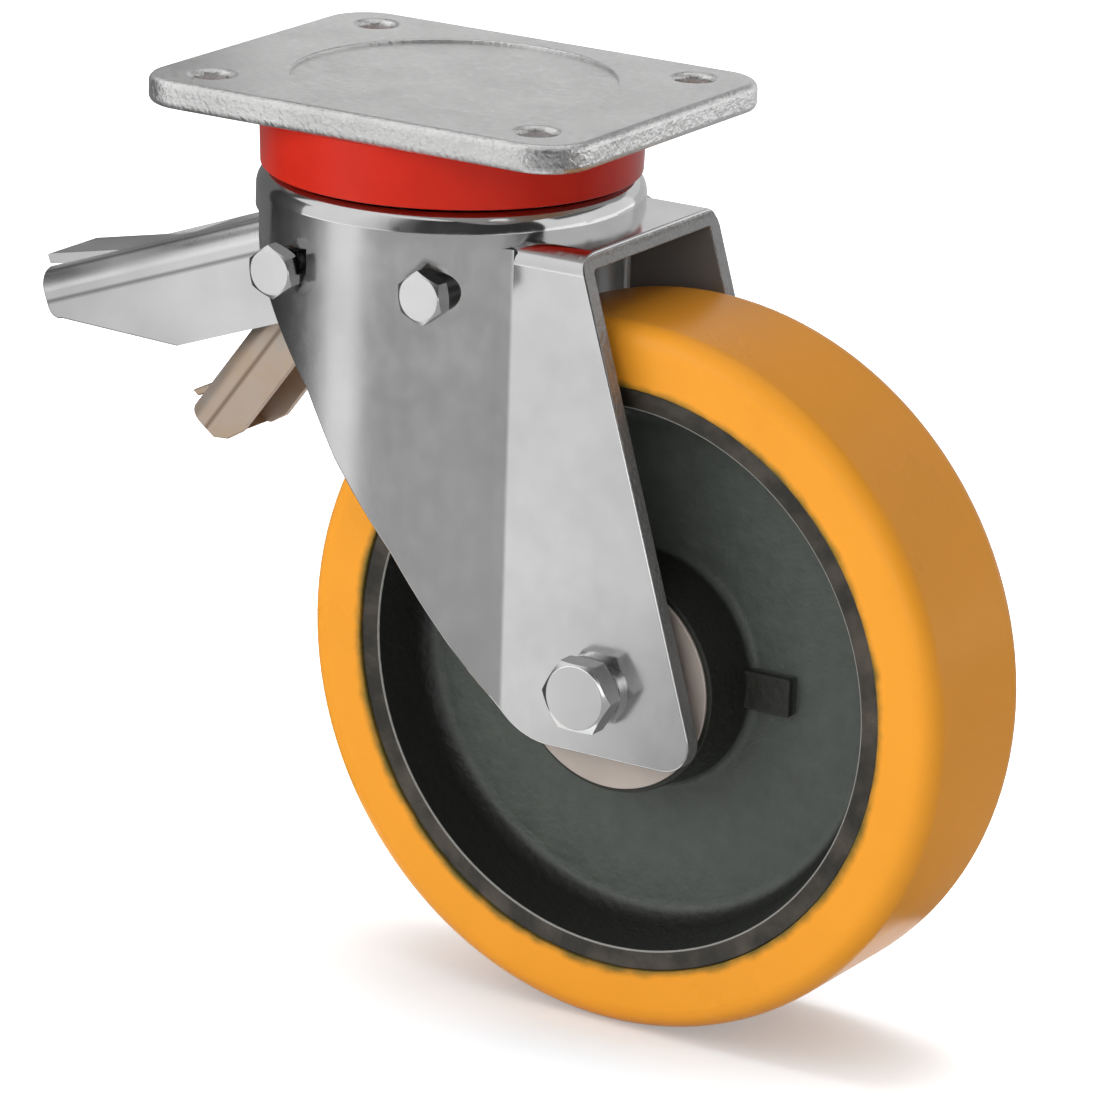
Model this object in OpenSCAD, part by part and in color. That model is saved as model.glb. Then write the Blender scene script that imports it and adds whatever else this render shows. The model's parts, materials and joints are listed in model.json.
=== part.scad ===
/* [Castor] */
// Clear height between the rear shelf and the tread
tread_clear = 15; // [12:0.5:22]
// Axle behind the swivel axis
trail = 72; // [68:0.5:76]

/* [Mounting plate] */
// Plate length, along the trail
plate_l = 140; // [132:1:150]
// Plate width
plate_w = 110; // [104:1:120]
// Plate thickness
plate_t = 8; // [6:0.5:9]
// Radius of the plate's corners
plate_corner_r = 14; // [8:1:16]
// Bolt spacing along the plate
hole_pitch_x = 105; // [100:1:108]
// Bolt spacing across the plate
hole_pitch_y = 80; // [78:1:84]
// Diameter of the bolt holes
hole_d = 11; // [9:0.5:13]
// Radius of the shallow recess in the top face
recess_r = 45; // [36:1:46]
// Depth of that recess
recess_depth = 1; // [0.5:0.1:2]

/* [Swivel head] */
// Depth of the head from plate top to crown top
head_drop = 25; // [24.5:0.1:26]
// Diameter of the upper balls
upper_ball_d = 10; // [9:0.25:10.5]
// Pitch radius of the upper balls
upper_pitch_r = 40; // [38.5:0.5:40.5]
// Number of upper balls
upper_ball_count = 20; // [14:1:20]
// Diameter of the lower balls
lower_ball_d = 7; // [6.5:0.25:7.5]
// Pitch radius of the lower balls
lower_pitch_r = 20; // [19.5:0.25:20.5]
// Number of lower balls
lower_ball_count = 14; // [8:1:14]
// Gap between each ball and its races
ball_gap = 0.25; // [0.15:0.05:0.3]
// Share of a ball's radius that its race takes in
race_share = 0.3; // [0.2:0.05:0.4]
// Diameter of the king pin
king_pin_d = 20; // [18:0.5:22]
// Thread diameter at the king pin's end
king_thread_d = 16; // [14:1:16]
// Thickness of the lower race
lower_race_t = 3; // [2.5:0.25:3.5]
// Height of the king nut
king_nut_h = 8; // [6:0.5:9]
// Width across flats of the king nut
king_nut_af = 24; // [22:0.5:25]
// Outer radius of the dust seal at its top
seal_r = 53.3; // [51.5:0.1:54]
// How much narrower the dust seal is at its foot
seal_taper = 0.6; // [0:0.1:1]
// Wall of the dust seal
seal_wall = 3; // [2:0.25:4]
// Gap between the dust seal and the crown
seal_gap = 0.4; // [0.3:0.05:0.6]

/* [Fork] */
// Outer radius of the drum under the crown
drum_r = 53.8; // [53:0.2:55.4]
// Sheet thickness
sheet_t = 5; // [4.5:0.25:5.5]
// Radius of the crown's shoulder
shoulder_r = 6; // [5.6:0.2:8]
// Depth of the shelf behind the crown, below the crown top
shelf_drop = 8; // [7:0.5:10]
// Depth of the drum's front skirt, below the crown top
skirt_drop = 11.5; // [10:0.5:13]
// Outer bend radius between shelf and legs
leg_bend_r = 6; // [5.8:0.2:8]
// Radius of the crease where the drum runs into a leg
crease_r = 5; // [3:0.5:7]
// Radius of the leg's lower front end
toe_r = 22; // [20:0.5:24]
// Radius of the leg's lower rear corner
heel_r = 8.3; // [6:0.1:10]
// Leg below the axle
leg_below = 19; // [17:0.5:21]
// Middle of the leg's lower front end ahead of the axle
toe_ahead = 13.5; // [11:0.5:15]
// Middle of the leg's lower rear corner behind the axle
heel_behind = 22.3; // [20:0.1:25]
// Rear edge of the shelf ahead of the axle
shelf_ahead = 7.3; // [5:0.1:9]
// Height of the brake window beside the front bolt
window_h = 6.8; // [5:0.2:7.6]
// Length of that window
window_l = 7; // [5:0.5:8]
// Wall between that window and the middle plane of the swivel
window_x = 12.2; // [11.5:0.1:13]

/* [Wheel] */
// Diameter over the tread
wheel_d = 200; // [196:1:202]
// Width of the tread
tread_w = 50; // [46:0.5:52]
// Radius of the tread's shoulders
tread_edge_r = 6; // [3:0.5:8]
// Thickness of the tread over the cast rim
tread_t = 17.3; // [14:0.1:20]
// Radial thickness of the rim at its face
rim_t = 5.6; // [4:0.2:7]
// How far the rim face lies inside the tread's face
rim_inset = 0.9; // [0.3:0.1:1.5]
// Taper of the rim's inner wall
rim_taper = 4; // [2:0.5:6]
// Thickness of the web
web_t = 12; // [9:0.5:15]
// Fillet between web, rim and hub
web_fillet_r = 6; // [3:0.5:7]
// Fillet where the hub meets the web
hub_fillet_r = 2.5; // [1.5:0.25:4]
// Outer radius of the hub at the web
hub_r = 33.7; // [33:0.1:35]
// How much narrower the hub is at its ends
hub_draft = 2; // [1.5:0.1:2.2]
// Length of the hub
hub_l = 50.6; // [49:0.2:52]
// Outer end of the hub's lug, from the axle
lug_reach = 47; // [44:0.5:52]
// Height of the hub's lug
lug_h = 11; // [9:0.5:15]
// How far the lug stands out of the web
lug_rise = 4; // [2:0.25:6]

/* [Bearings and axle] */
// Outer diameter of a wheel bearing
bearing_d = 52; // [50:0.5:53]
// Width of a wheel bearing
bearing_w = 15; // [13:0.5:16]
// How far a bearing lies inside the hub's end
bearing_inset = 0.5; // [0.3:0.1:1]
// Bore of a wheel bearing
bearing_bore = 25; // [22:0.5:26]
// Share of a bearing's section that each ring takes
ring_share = 0.27; // [0.25:0.01:0.29]
// Number of balls in a bearing
bearing_ball_count = 8; // [6:1:9]
// Radius of the shields over the hub's ends
shield_r = 30.4; // [28:0.2:31]
// Thickness of a shield
shield_t = 1; // [0.6:0.1:1.4]
// Gap between a shield and its inner ring
shield_gap = 0.4; // [0.3:0.05:0.6]
// Length of the hub spacers, from a bearing to the leg
spacer_l = 5.2; // [4.7:0.1:6.5]
// Wall of the hub spacers
spacer_wall = 3.5; // [2.5:0.25:4]
// Diameter of the axle bolt
axle_d = 12; // [10:0.5:14]
// Width across flats of the axle bolt's head and nut
axle_af = 19; // [18:0.5:22]
// Height of the axle bolt's head
axle_head_h = 7.5; // [6:0.5:9]
// Height of the axle nut
axle_nut_h = 12; // [9:0.5:13]
// Thickness of the axle washers
axle_washer_t = 2; // [1.5:0.25:3]
// Diameter of the axle washers
axle_washer_d = 20; // [19.5:0.5:24]
// Clearance between a bolt and its hole
bolt_gap = 0.1; // [0.05:0.05:0.2]
// Round face of a bolt head or nut, as a share of its width across flats
head_face = 0.94; // [0.88:0.01:0.98]

/* [Brake bolts] */
// Front bolt ahead of the swivel axis
front_bolt_x = 20.5; // [20.2:0.1:21.5]
// Rear bolt behind the swivel axis
rear_bolt_x = 26.2; // [25:0.2:28]
// Both bolts below the crown top
brake_bolt_drop = 22; // [21.6:0.1:23]
// Diameter of the brake bolts
brake_bolt_d = 8; // [7:0.25:8.5]
// Width across flats of their heads and nuts
brake_bolt_af = 13; // [12:0.25:14]
// Turn of their heads and nuts from corners level, in degrees
brake_head_turn = 38; // [0:1:60]
// Height of their heads
brake_head_h = 5.3; // [4:0.1:6]
// Height of their nuts
brake_nut_h = 8; // [6:0.5:9]
// Diameter of the short tubes under heads and nuts
bolt_spacer_d = 11.5; // [10.5:0.25:12]
// Seat of the front bolt's head, from the middle plane
front_seat_y = 52.7; // [52.4:0.1:55]
// Seat of the rear bolt's head, from the middle plane
rear_seat_y = 50.2; // [50:0.1:52]
// Diameter of the sleeves on both bolts
sleeve_d = 11; // [10:0.25:11.5]
// Running fit of the pedals and shoe on the sleeves, at the radius
pivot_gap = 0.06; // [0.03:0.01:0.1]

/* [Pedals] */
// Fall of the upper pedal below level, in degrees
lock_fall = 20; // [17:0.5:22]
// Length of the upper pedal from its pivot
lock_l = 110; // [102:1:116]
// Width of the upper pedal
lock_w = 36; // [34:0.5:38]
// Height of the upper pedal's web above its pivot
lock_top = 12.7; // [12:0.1:13.2]
// Depth of the upper pedal's flanks below its pivot
lock_depth = 17; // [14:0.2:18]
// Bend radius of the upper pedal
lock_bend_r = 6.5; // [5:0.25:7.5]
// Sheet of the upper pedal
lock_t = 3; // [2.5:0.25:3.5]
// Where the foot tongue in the upper pedal's web begins, from the pivot
tongue_start = 57; // [52:1:62]
// Width of that tongue
tongue_w = 23; // [18:0.5:24]
// How far the tongue dips below the web where it begins
tongue_dip = 2.4; // [1.5:0.1:2.8]
// How far the tongue rises above the web at its end
tongue_rise = 3.7; // [2:0.1:5]
// Length of the tongue's raised end
lip_l = 30; // [26:1:36]
// Length over which the upper pedal's flanks taper to the tip
lock_taper = 41; // [36:1:46]
// Radius at the upper pedal's tip
lock_tip_r = 4; // [3:0.25:5]
// Lower edge of the upper pedal's tip below its pivot
lock_tip_drop = 2.2; // [1:0.2:4]
// Fall of the lower pedal below level, in degrees
release_fall = 52.8; // [50:0.2:55]
// Length of the lower pedal from its pivot
release_l = 83; // [77:1:88]
// Width of the lower pedal
release_w = 24; // [23:0.25:26]
// Height of the lower pedal's web above its pivot
release_top = 11.9; // [11:0.1:12.4]
// Depth of the lower pedal's flanks below its pivot
release_depth = 5.7; // [5:0.1:7]
// Bend radius of the lower pedal
release_bend_r = 6; // [4.5:0.25:7]
// Sheet of the lower pedal
release_t = 2.5; // [2:0.1:2.6]
// Rise of the lower pedal's toe lip
toe_rise = 4.4; // [3:0.2:5]
// Length of that toe lip
toe_lip_l = 9; // [7:0.5:12]
// Width of that toe lip
toe_lip_w = 8; // [6:0.5:12]
// Length of the slope at the lower pedal's end
release_taper = 8; // [5:0.5:10]
// Diameter of the ears around the pivots
ear_d = 16; // [15:0.2:17]

/* [Brake shoe] */
// Swing of the shoe between released and locked, in degrees
shoe_swing = 3.2; // [2.6:0.1:3.6]
// Gap between shoe and tread when locked
shoe_gap = 0.4; // [0.3:0.05:0.6]
// Thickness of the shoe's sole
sole_t = 5; // [4:0.25:6]
// Sheet of the shoe's cheeks
cheek_t = 3; // [2.5:0.25:3.5]
// Width of the shoe
shoe_w = 40; // [39:0.5:44]
// Rear end of the sole around the wheel, in degrees
sole_from = 124; // [122:0.5:128]
// Front end of the sole around the wheel, in degrees
sole_to = 146; // [142:0.5:148]

/* [Hidden] */
$fn = 96;
// Length by which a cut runs past the face that it opens
over = 1;
wheel_r = wheel_d / 2;
crown_z = -head_drop;
crown_foot_z = crown_z - sheet_t;
drum_in_r = drum_r - sheet_t;
hub_y = hub_l / 2;
leg_in = hub_y - bearing_inset + spacer_l;
leg_out = leg_in + sheet_t;
leg_span = 2 * leg_out;
shelf_z = crown_z - shelf_drop;
axle_z = shelf_z - sheet_t - tread_clear - wheel_r;
leg_h = crown_z - axle_z;
skirt_z = crown_z - skirt_drop;
shelf_end_x = trail - shelf_ahead;
foot_z = axle_z - leg_below;
heel_c = [trail + heel_behind, foot_z + heel_r];
toe_c = [trail - toe_ahead, foot_z + toe_r];
leg_far_x = trail + heel_behind + 2 * heel_r;
// Swivel head: the races take in the same share of every ball
upper_ball_r = upper_ball_d / 2;
lower_ball_r = lower_ball_d / 2;
upper_ball_z = crown_z + upper_ball_r * (1 - race_share);
boss_z = upper_ball_z + upper_ball_r * (1 - race_share);
boss_r = upper_pitch_r + 1.2 * upper_ball_r;
lower_ball_z = crown_foot_z - lower_ball_r * (1 - race_share);
lower_race_z = lower_ball_z - lower_ball_r * (1 - race_share);
lower_race_r = lower_pitch_r + 1.3 * lower_ball_r;
king_nut_z = lower_race_z - lower_race_t;
king_end_z = king_nut_z - 1.25 * king_nut_h;
crown_bore_r = 0.625 * king_pin_d;
// Brake bolts
brake_z = crown_z - brake_bolt_drop;
front_bolt = [-front_bolt_x, brake_z];
rear_bolt = [rear_bolt_x, brake_z];
sleeve_r = sleeve_d / 2;
ear_r = ear_d / 2;
brake_bolt_r = brake_bolt_d / 2;
// Wheel and bearings
axle_r = axle_d / 2;
bearing_r = bearing_d / 2;
bore_r = bearing_bore / 2;
bearing_y = hub_y - bearing_inset - bearing_w / 2;
ring_t = ring_share * (bearing_r - bore_r);
race_in_r = bore_r + ring_t;
race_out_r = bearing_r - ring_t;
bearing_pitch_r = (race_in_r + race_out_r) / 2;
bearing_ball_r = 0.59 * (race_out_r - race_in_r);
rim_y = tread_w / 2 - rim_inset;
rim_r = wheel_r - tread_t;
rim_in_r = rim_r - rim_t;
seat_r = bearing_r - 0.6 * ring_t;

function polar(c, r, a) = [c[0] + r * cos(a), c[1] + r * sin(a)];
// Touching point of the line from p to the circle at c, on the side given by s
function tangent(p, c, r, s) =
    let (d = norm(c - p), a = atan2(p[1] - c[1], p[0] - c[0]), b = acos(r / d))
    polar(c, r, a + s * b);

// A side view in x and z, drawn out across the middle plane
module across(w) {
    rotate([90, 0, 0])
        linear_extrude(w, center = true)
            children();
}

// Turned about the wheel's axis
module turned_wheel() {
    translate([trail, 0, axle_z])
        rotate([90, 0, 0])
            rotate_extrude()
                children();
}

module at_wheel(y) {
    translate([trail, y, axle_z])
        rotate([90, 0, 0])
            children();
}

// A cylinder across the middle plane, from y0 to y1
module rod(p, r, y0, y1) {
    translate([p[0], y1, p[1]])
        rotate([90, 0, 0])
            cylinder(r = r, h = y1 - y0);
}

// Hexagon for a bolt head or nut, its corners turned off at both ends
module hexagon(af, h) {
    face_r = head_face * af / 2;
    out_r = 0.7 * af;
    slope = (out_r - face_r) * tan(30);
    intersection() {
        cylinder(d = af / cos(30), h = h, $fn = 6);
        rotate_extrude()
            polygon([[0, 0], [face_r, 0], [out_r, slope], [out_r, h - slope], [face_r, h], [0, h]]);
    }
}

module hex_rod(p, af, y0, y1, turn = 0) {
    translate([p[0], y1, p[1]])
        rotate([90, 0, 0])
            rotate([0, 0, turn])
                hexagon(af, y1 - y0);
}

module ring_groove(pitch, r, z) {
    translate([0, 0, z])
        rotate_extrude()
            translate([pitch, 0])
                circle(r);
}

module ball_row(pitch, r, n, z) {
    for (i = [0 : n - 1])
        rotate([0, 0, i * 360 / n])
            translate([pitch, 0, z])
                sphere(r);
}

module rounded_plate(l, w, r) {
    square([l - 2 * r, w], center = true);
    square([l, w - 2 * r], center = true);
    for (x = [-1, 1], y = [-1, 1])
        translate([x * (l / 2 - r), y * (w / 2 - r)])
            circle(r);
}

module mounting_plate() {
    color("silver")
        difference() {
            union() {
                translate([0, 0, -plate_t])
                    linear_extrude(plate_t)
                        rounded_plate(plate_l, plate_w, plate_corner_r);
                translate([0, 0, boss_z])
                    cylinder(r = boss_r, h = -plate_t - boss_z + over / 2);
                translate([0, 0, lower_race_z])
                    cylinder(d = king_pin_d, h = boss_z - lower_race_z + over);
                translate([0, 0, king_end_z])
                    cylinder(d = king_thread_d, h = lower_race_z - king_end_z + over);
            }
            for (x = [-1, 1], y = [-1, 1])
                translate([x * hole_pitch_x / 2, y * hole_pitch_y / 2, -plate_t - over])
                    cylinder(d = hole_d, h = plate_t + 2 * over);
            translate([0, 0, -recess_depth])
                cylinder(r = recess_r, h = recess_depth + over);
            ring_groove(upper_pitch_r, upper_ball_r + ball_gap, upper_ball_z);
        }
}

module dust_seal() {
    foot = crown_z + seal_gap;
    color("red")
        rotate_extrude()
            polygon([[seal_r - seal_wall, -plate_t], [seal_r, -plate_t],
                [seal_r - seal_taper, foot], [seal_r - seal_wall - seal_taper, foot]]);
}

module upper_balls() {
    color("gainsboro")
        ball_row(upper_pitch_r, upper_ball_r, upper_ball_count, upper_ball_z);
}

module lower_balls() {
    color("gainsboro")
        ball_row(lower_pitch_r, lower_ball_r, lower_ball_count, lower_ball_z);
}

module lower_race() {
    color("gray")
        difference() {
            translate([0, 0, king_nut_z])
                cylinder(r = lower_race_r, h = lower_race_t);
            translate([0, 0, king_nut_z - over])
                cylinder(d = king_thread_d + 2 * bolt_gap, h = lower_race_t + 2 * over);
            ring_groove(lower_pitch_r, lower_ball_r + ball_gap, lower_ball_z);
        }
}

module king_nut() {
    color("silver")
        difference() {
            translate([0, 0, king_nut_z - king_nut_h])
                hexagon(king_nut_af, king_nut_h);
            translate([0, 0, king_nut_z - king_nut_h - over])
                cylinder(d = king_thread_d, h = king_nut_h + 2 * over);
        }
}

// Section of the crown from the axis outwards, one sheet thick
module crown_shell(r, top, corner, foot) {
    translate([0, foot])
        square([r - corner, top - foot]);
    translate([0, foot])
        square([r, top - corner - foot]);
    translate([r - corner, top - corner])
        circle(corner);
}

module crown() {
    rotate_extrude()
        difference() {
            intersection() {
                crown_shell(drum_r, crown_z, shoulder_r, skirt_z);
                translate([0, skirt_z])
                    square([drum_r + over, skirt_drop]);
            }
            crown_shell(drum_in_r, crown_foot_z, shoulder_r - sheet_t, skirt_z - over);
            translate([0, skirt_z])
                square([crown_bore_r, skirt_drop + over]);
        }
}

// Side view of the sheet below the crown: drum front, leg and rear shelf
module leg_outline() {
    // Front edge as shares of the drum's radius and of the leg's height
    front = [for (p = [[-0.7, 0.14], [-0.67, 0.187], [-0.54, 0.262], [-0.21, 0.424],
        [-0.02, 0.562], [0.3, 0.751]]) [p[0] * drum_r, crown_z - p[1] * leg_h]];
    low = tangent(front[5], toe_c, toe_r, 1);
    rear = [shelf_end_x, shelf_z - sheet_t / 2];
    back = tangent(rear, heel_c, heel_r, -1);
    polygon(concat([[shelf_end_x, shelf_z + over], [front[0][0], shelf_z + over]], front,
        [low, toe_c, [toe_c[0], foot_z], [heel_c[0], foot_z], heel_c, back, rear]));
    translate(toe_c)
        circle(toe_r);
    translate(heel_c)
        circle(heel_r);
}

// Plan of the sheet: round drum running into two straight legs
module drum_plan() {
    c = [sqrt(pow(drum_r + crease_r, 2) - pow(leg_out + crease_r, 2)), leg_out + crease_r];
    t = c * drum_r / (drum_r + crease_r);
    q = sqrt(pow(drum_in_r, 2) - pow(leg_in, 2));
    difference() {
        union() {
            circle(drum_r);
            for (s = [-1, 1])
                difference() {
                    polygon([[t[0] - sheet_t / 2, s * (t[1] - 0.8 * sheet_t)], [t[0], s * t[1]],
                        [c[0], s * c[1]], [c[0], s * (leg_out - sheet_t / 2)]]);
                    translate([c[0], s * c[1]])
                        circle(crease_r);
                }
            translate([0, -leg_out])
                square([leg_far_x, leg_span]);
        }
        circle(drum_in_r);
        translate([0, -leg_in])
            square([leg_far_x + over, 2 * leg_in]);
        for (s = [-1, 1])
            difference() {
                polygon([[q - sheet_t, s * (leg_in - sheet_t)],
                    c * drum_in_r / (drum_r + crease_r) * [[1, 0], [0, s]],
                    [c[0], s * leg_in], [c[0], s * (leg_in - sheet_t)]]);
                translate([c[0], s * c[1]])
                    circle(crease_r + sheet_t);
            }
    }
}

// Legs and rear shelf as one bent channel, seen from behind
module channel_section() {
    difference() {
        union() {
            translate([-leg_out, foot_z - over])
                square([leg_span, shelf_z - leg_bend_r - foot_z + over]);
            translate([-leg_out + leg_bend_r, foot_z - over])
                square([leg_span - 2 * leg_bend_r, shelf_z - foot_z + over]);
            for (s = [-1, 1])
                translate([s * (leg_out - leg_bend_r), shelf_z - leg_bend_r])
                    circle(leg_bend_r);
        }
        translate([-leg_in, foot_z - 2 * over])
            square([2 * leg_in, shelf_z - leg_bend_r - foot_z + 2 * over]);
        translate([-leg_out + leg_bend_r, foot_z - 2 * over])
            square([leg_span - 2 * leg_bend_r, shelf_z - sheet_t - foot_z + 2 * over]);
        for (s = [-1, 1])
            translate([s * (leg_out - leg_bend_r), shelf_z - leg_bend_r])
                circle(leg_bend_r - sheet_t);
    }
}

module fork() {
    drum_end_x = sqrt(pow(drum_r + crease_r, 2) - pow(leg_out + crease_r, 2));
    color("silver")
        difference() {
            union() {
                crown();
                // Drum wall down to the legs
                intersection() {
                    translate([0, 0, foot_z - over])
                        linear_extrude(skirt_z - foot_z + 2.5 * over)
                            intersection() {
                                drum_plan();
                                translate([-drum_r - over, -drum_r - over])
                                    square([drum_r + over + drum_end_x, 2 * drum_r + 2 * over]);
                            }
                    across(2 * drum_r + 2 * over)
                        leg_outline();
                }
                // Flat legs and shelf
                difference() {
                    intersection() {
                        rotate([90, 0, 90])
                            linear_extrude(leg_far_x)
                                channel_section();
                        across(leg_span + 2 * over)
                            leg_outline();
                    }
                    translate([0, 0, foot_z - 2 * over])
                        cylinder(r = drum_in_r, h = crown_z - foot_z);
                    translate([-over, -leg_span, foot_z - 2 * over])
                        cube([drum_end_x - 2 * over, 2 * leg_span, skirt_z - foot_z + 2 * over]);
                }
            }
            ring_groove(upper_pitch_r, upper_ball_r + ball_gap, upper_ball_z);
            ring_groove(lower_pitch_r, lower_ball_r + ball_gap, lower_ball_z);
            rod(front_bolt, brake_bolt_r + bolt_gap, -drum_r, drum_r);
            rod(rear_bolt, brake_bolt_r + bolt_gap, -drum_r, drum_r);
            rod([trail, axle_z], axle_r + bolt_gap, -drum_r, drum_r);
            // Brake window beside the front bolt, in both walls
            translate([-window_l - window_x, -drum_r - over, brake_z - 0.08 * window_h])
                cube([window_l, 2 * drum_r + 2 * over, window_h]);
        }
}

// Cross bolt of the brake with its head on the near side
module brake_bolt(p, seat) {
    rod(p, brake_bolt_r, -seat - over / 2, seat + 1.25 * brake_nut_h);
    hex_rod(p, brake_bolt_af, -seat - brake_head_h, -seat, brake_head_turn);
}

module brake_nut(p, seat) {
    difference() {
        hex_rod(p, brake_bolt_af, seat, seat + brake_nut_h, brake_head_turn);
        rod(p, brake_bolt_r, seat - over, seat + brake_nut_h + over);
    }
}

module brake_sleeve(p) {
    intersection() {
        difference() {
            rod(p, sleeve_r, -drum_r, drum_r);
            rod(p, brake_bolt_r + bolt_gap, -drum_r - over, drum_r + over);
        }
        translate([0, 0, brake_z - 2 * sleeve_r])
            cylinder(r = drum_in_r, h = 4 * sleeve_r);
    }
}

module pedal_bolt() {
    color("silver")
        brake_bolt(front_bolt, front_seat_y);
}

module pedal_bolt_nut() {
    color("silver")
        brake_nut(front_bolt, front_seat_y);
}

module pedal_sleeve() {
    color("gray")
        brake_sleeve(front_bolt);
}

module shoe_bolt() {
    color("silver")
        brake_bolt(rear_bolt, rear_seat_y);
}

module shoe_bolt_nut() {
    color("silver")
        brake_nut(rear_bolt, rear_seat_y);
}

module shoe_sleeve() {
    color("gray")
        brake_sleeve(rear_bolt);
}

module bolt_spacers() {
    color("silver")
        difference() {
            union() {
                rod(front_bolt, bolt_spacer_d / 2, -front_seat_y, front_seat_y);
                rod(rear_bolt, bolt_spacer_d / 2, -rear_seat_y, rear_seat_y);
            }
            translate([0, 0, brake_z - bolt_spacer_d])
                cylinder(r = drum_r, h = 2 * bolt_spacer_d);
            rod(front_bolt, brake_bolt_r + bolt_gap, -front_seat_y - over, front_seat_y + over);
            rod(rear_bolt, brake_bolt_r + bolt_gap, -rear_seat_y - over, rear_seat_y + over);
        }
}

// Pedal space: u runs out along the pedal, y across, v up from its web
module pedal_space(fall) {
    translate([front_bolt[0], 0, front_bolt[1]])
        rotate([0, -fall, 0])
            mirror([1, 0, 0])
                children();
}

// Arched section of a pressed pedal, open below, from u0 to u1
module arch(w, top, r, u0, u1) {
    translate([u0, 0, 0])
        rotate([90, 0, 90])
            linear_extrude(u1 - u0) {
                translate([-w / 2, -w])
                    square([w, w + top - r]);
                translate([-w / 2 + r, -w])
                    square([w - 2 * r, w + top]);
                for (s = [-1, 1])
                    translate([s * (w / 2 - r), top - r])
                        circle(r);
            }
}

module lock_side() {
    circle(ear_r);
    tip = [lock_l - lock_tip_r, lock_tip_r - lock_tip_drop];
    polygon([[0, ear_r], [1.25 * ear_r, lock_top + over], [lock_l, lock_top + over],
        [lock_l, tip[1]], tip, [tip[0], -lock_tip_drop], [lock_l - lock_taper, -lock_depth],
        [0, -lock_depth], [-ear_r, 0]]);
    translate(tip)
        circle(lock_tip_r);
}

// Tongue pressed out of the web to hold the foot: it steps down, then rises to the tip
module tongue_side() {
    dip = lock_top - tongue_dip;
    end = lock_top + tongue_rise;
    knee = lock_l - lip_l;
    polygon([[tongue_start - lock_t, lock_top], [tongue_start, lock_top],
        [tongue_start + lock_t / 2, dip], [knee, lock_top - tongue_dip / 4], [lock_l, end],
        [lock_l, end - lock_t], [knee, lock_top - tongue_dip / 4 - lock_t],
        [tongue_start, dip - lock_t], [tongue_start - lock_t, dip - lock_t]]);
}

module lock_pedal() {
    cut_w = tongue_w - 0.2 * lock_t;
    color("silver")
        pedal_space(lock_fall)
            difference() {
                union() {
                    difference() {
                        intersection() {
                            across(lock_w)
                                lock_side();
                            difference() {
                                arch(lock_w, lock_top, lock_bend_r, -2 * ear_r, lock_l);
                                arch(lock_w - 2 * lock_t, lock_top - lock_t, lock_bend_r - lock_t,
                                    -3 * ear_r, lock_l + over);
                            }
                        }
                        translate([tongue_start, -cut_w / 2, lock_top - 2 * lock_t])
                            cube([lock_l - tongue_start + over, cut_w, 4 * lock_t]);
                    }
                    across(tongue_w)
                        tongue_side();
                }
                rod([0, 0], sleeve_r + pivot_gap, -lock_w, lock_w);
            }
}

module release_side() {
    circle(ear_r);
    polygon([[0, ear_r], [2.2 * ear_r, release_top + over], [release_l, release_top + over],
        [release_l, 0], [release_l - 0.4 * release_taper, -0.65 * release_depth],
        [release_l - release_taper, -release_depth], [0, -release_depth]]);
}

module release_pedal() {
    color("tan")
        pedal_space(release_fall)
            difference() {
                union() {
                    intersection() {
                        across(release_w)
                            release_side();
                        difference() {
                            arch(release_w, release_top, release_bend_r, -2 * ear_r, release_l);
                            arch(release_w - 2 * release_t, release_top - release_t,
                                release_bend_r - release_t, -3 * ear_r, release_l - release_t);
                        }
                    }
                    // Toe lip
                    across(toe_lip_w)
                        translate([release_l, release_top])
                            polygon([[-toe_lip_l, 0], [0, toe_rise], [0, toe_rise - release_t],
                                [-toe_lip_l, -release_t]]);
                }
                rod([0, 0], sleeve_r + pivot_gap, -release_w, release_w);
            }
}

// Side view of the shoe as it lies on the tread when locked
module cheek_side() {
    w = [trail, axle_z];
    out = wheel_r + shoe_gap + sole_t;
    cam = [rear_bolt[0] - 4 * ear_r, rear_bolt[1] - 2.2 * ear_r];
    difference() {
        union() {
            translate(rear_bolt)
                circle(ear_r);
            polygon([polar(rear_bolt, ear_r, 126), cam, polar(w, out, sole_to),
                polar(w, wheel_r, sole_to), polar(w, wheel_r, sole_from), polar(rear_bolt, ear_r, 270)]);
        }
        translate(w)
            circle(wheel_r + shoe_gap + sole_t / 2);
        translate(rear_bolt)
            circle(sleeve_r + pivot_gap);
    }
}

module sole_side() {
    w = [trail, axle_z];
    far = 2 * wheel_r;
    intersection() {
        difference() {
            translate(w)
                circle(wheel_r + shoe_gap + sole_t);
            translate(w)
                circle(wheel_r + shoe_gap);
        }
        polygon([w, polar(w, far, sole_from), polar(w, far, sole_to)]);
    }
}

module brake_shoe() {
    color("silver")
        translate([rear_bolt[0], 0, rear_bolt[1]])
            rotate([0, shoe_swing, 0])
                translate([-rear_bolt[0], 0, -rear_bolt[1]]) {
                    across(shoe_w)
                        sole_side();
                    for (s = [-1, 1])
                        translate([0, s * (shoe_w / 2 - cheek_t / 2), 0])
                            across(cheek_t)
                                cheek_side();
                }
}

module axle_bolt() {
    p = [trail, axle_z];
    seat = leg_out + axle_washer_t;
    color("silver") {
        rod(p, axle_r, -seat - over / 2, seat + 1.25 * axle_nut_h);
        hex_rod(p, axle_af, -seat - axle_head_h, -seat);
    }
}

module axle_nut() {
    p = [trail, axle_z];
    seat = leg_out + axle_washer_t;
    color("silver")
        difference() {
            hex_rod(p, axle_af, seat, seat + axle_nut_h);
            rod(p, axle_r, seat - over, seat + axle_nut_h + over);
        }
}

module axle_washers() {
    p = [trail, axle_z];
    color("silver")
        for (s = [0, 1])
            mirror([0, s, 0])
                difference() {
                    rod(p, axle_washer_d / 2, leg_out, leg_out + axle_washer_t);
                    rod(p, axle_r + bolt_gap, leg_out - over, leg_out + axle_washer_t + over);
                }
}

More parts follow.
